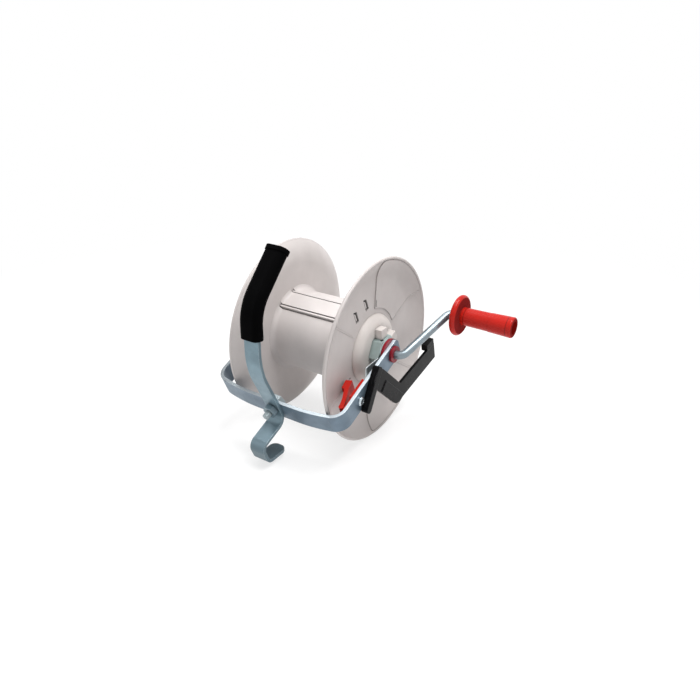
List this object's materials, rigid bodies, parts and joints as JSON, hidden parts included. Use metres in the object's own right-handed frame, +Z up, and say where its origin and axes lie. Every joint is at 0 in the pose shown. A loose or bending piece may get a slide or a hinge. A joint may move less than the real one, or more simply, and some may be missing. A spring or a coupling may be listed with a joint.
{
  "type": "electric fence reel",
  "caption": "Hand-held fence wire reel: cranked plastic drum in a bent flat-steel frame with hand grip and hook, with a pawl, a brake spring and a crank lock lever",
  "frame": {"origin": "centre of the drum, on the axle, midway between the flat discs of the drum ends", "axes": "+X along the axle towards the crank, +Z up when the reel stands on the drum's rims, +Y away from the frame's back and the hand grip"},
  "size_m": [0.308, 0.2661, 0.2556],
  "materials": {
    "zinc": "zinc-plated flat steel, slightly blue",
    "bright_zinc": "bright zinc-plated steel",
    "drum_plastic": "satin warm-grey moulded plastic",
    "hub_plastic": "satin off-white moulded plastic",
    "red_plastic": "semi-gloss red moulded plastic",
    "grip_rubber": "soft black moulded rubber",
    "black_plastic": "dark grey moulded plastic"
  },
  "bodies": {
    "frame": {"frame_strap": "zinc", "handle_bar": "zinc", "hand_grip": "grip_rubber", "handle_bolt": "bright_zinc", "handle_washer": "bright_zinc", "handle_nut": "bright_zinc", "right_bush": "red_plastic", "left_bush": "red_plastic", "brake_spring": "bright_zinc", "pawl_bracket": "red_plastic", "pawl_pin": "bright_zinc", "pawl_screw": "bright_zinc", "lever_rivet": "bright_zinc"},
    "drum": {"crank_axle": "bright_zinc", "drive_nut": "bright_zinc", "drive_pin": "zinc", "hub_right": "hub_plastic", "flange_right": "drum_plastic", "barrel": "drum_plastic", "flange_left": "drum_plastic", "hub_left": "hub_plastic", "axle_washer": "bright_zinc", "split_pin": "bright_zinc", "grip_clip": "bright_zinc"},
    "crank_grip": {"crank_grip": "red_plastic", "grip_cap": "red_plastic"},
    "pawl": {"pawl": "red_plastic"},
    "lock_lever": {"lock_lever": "black_plastic"}
  },
  "joints": [
    {"name": "drum_turn", "type": "hinge", "parent": "frame", "child": "drum", "pos_m": [0, 0, 0], "axis": [1, 0, 0], "continuous": true},
    {"name": "grip_turn", "type": "hinge", "parent": "drum", "child": "crank_grip", "pos_m": [0.165, 0.07656, 0.03457], "axis": [1, 0, 0], "continuous": true},
    {"name": "pawl_lift", "type": "hinge", "parent": "frame", "child": "pawl", "pos_m": [0.07759, -0.08841, -0.03992], "axis": [0, 0.4115, -0.9114], "range_deg": [0, 12], "stiffness_Nm_per_rad": 0.2},
    {"name": "lever_swing", "type": "hinge", "parent": "frame", "child": "lock_lever", "pos_m": [0.092, -0.03546, -0.01381], "axis": [1, 0, 0], "range_deg": [0, 25]}
  ]
}
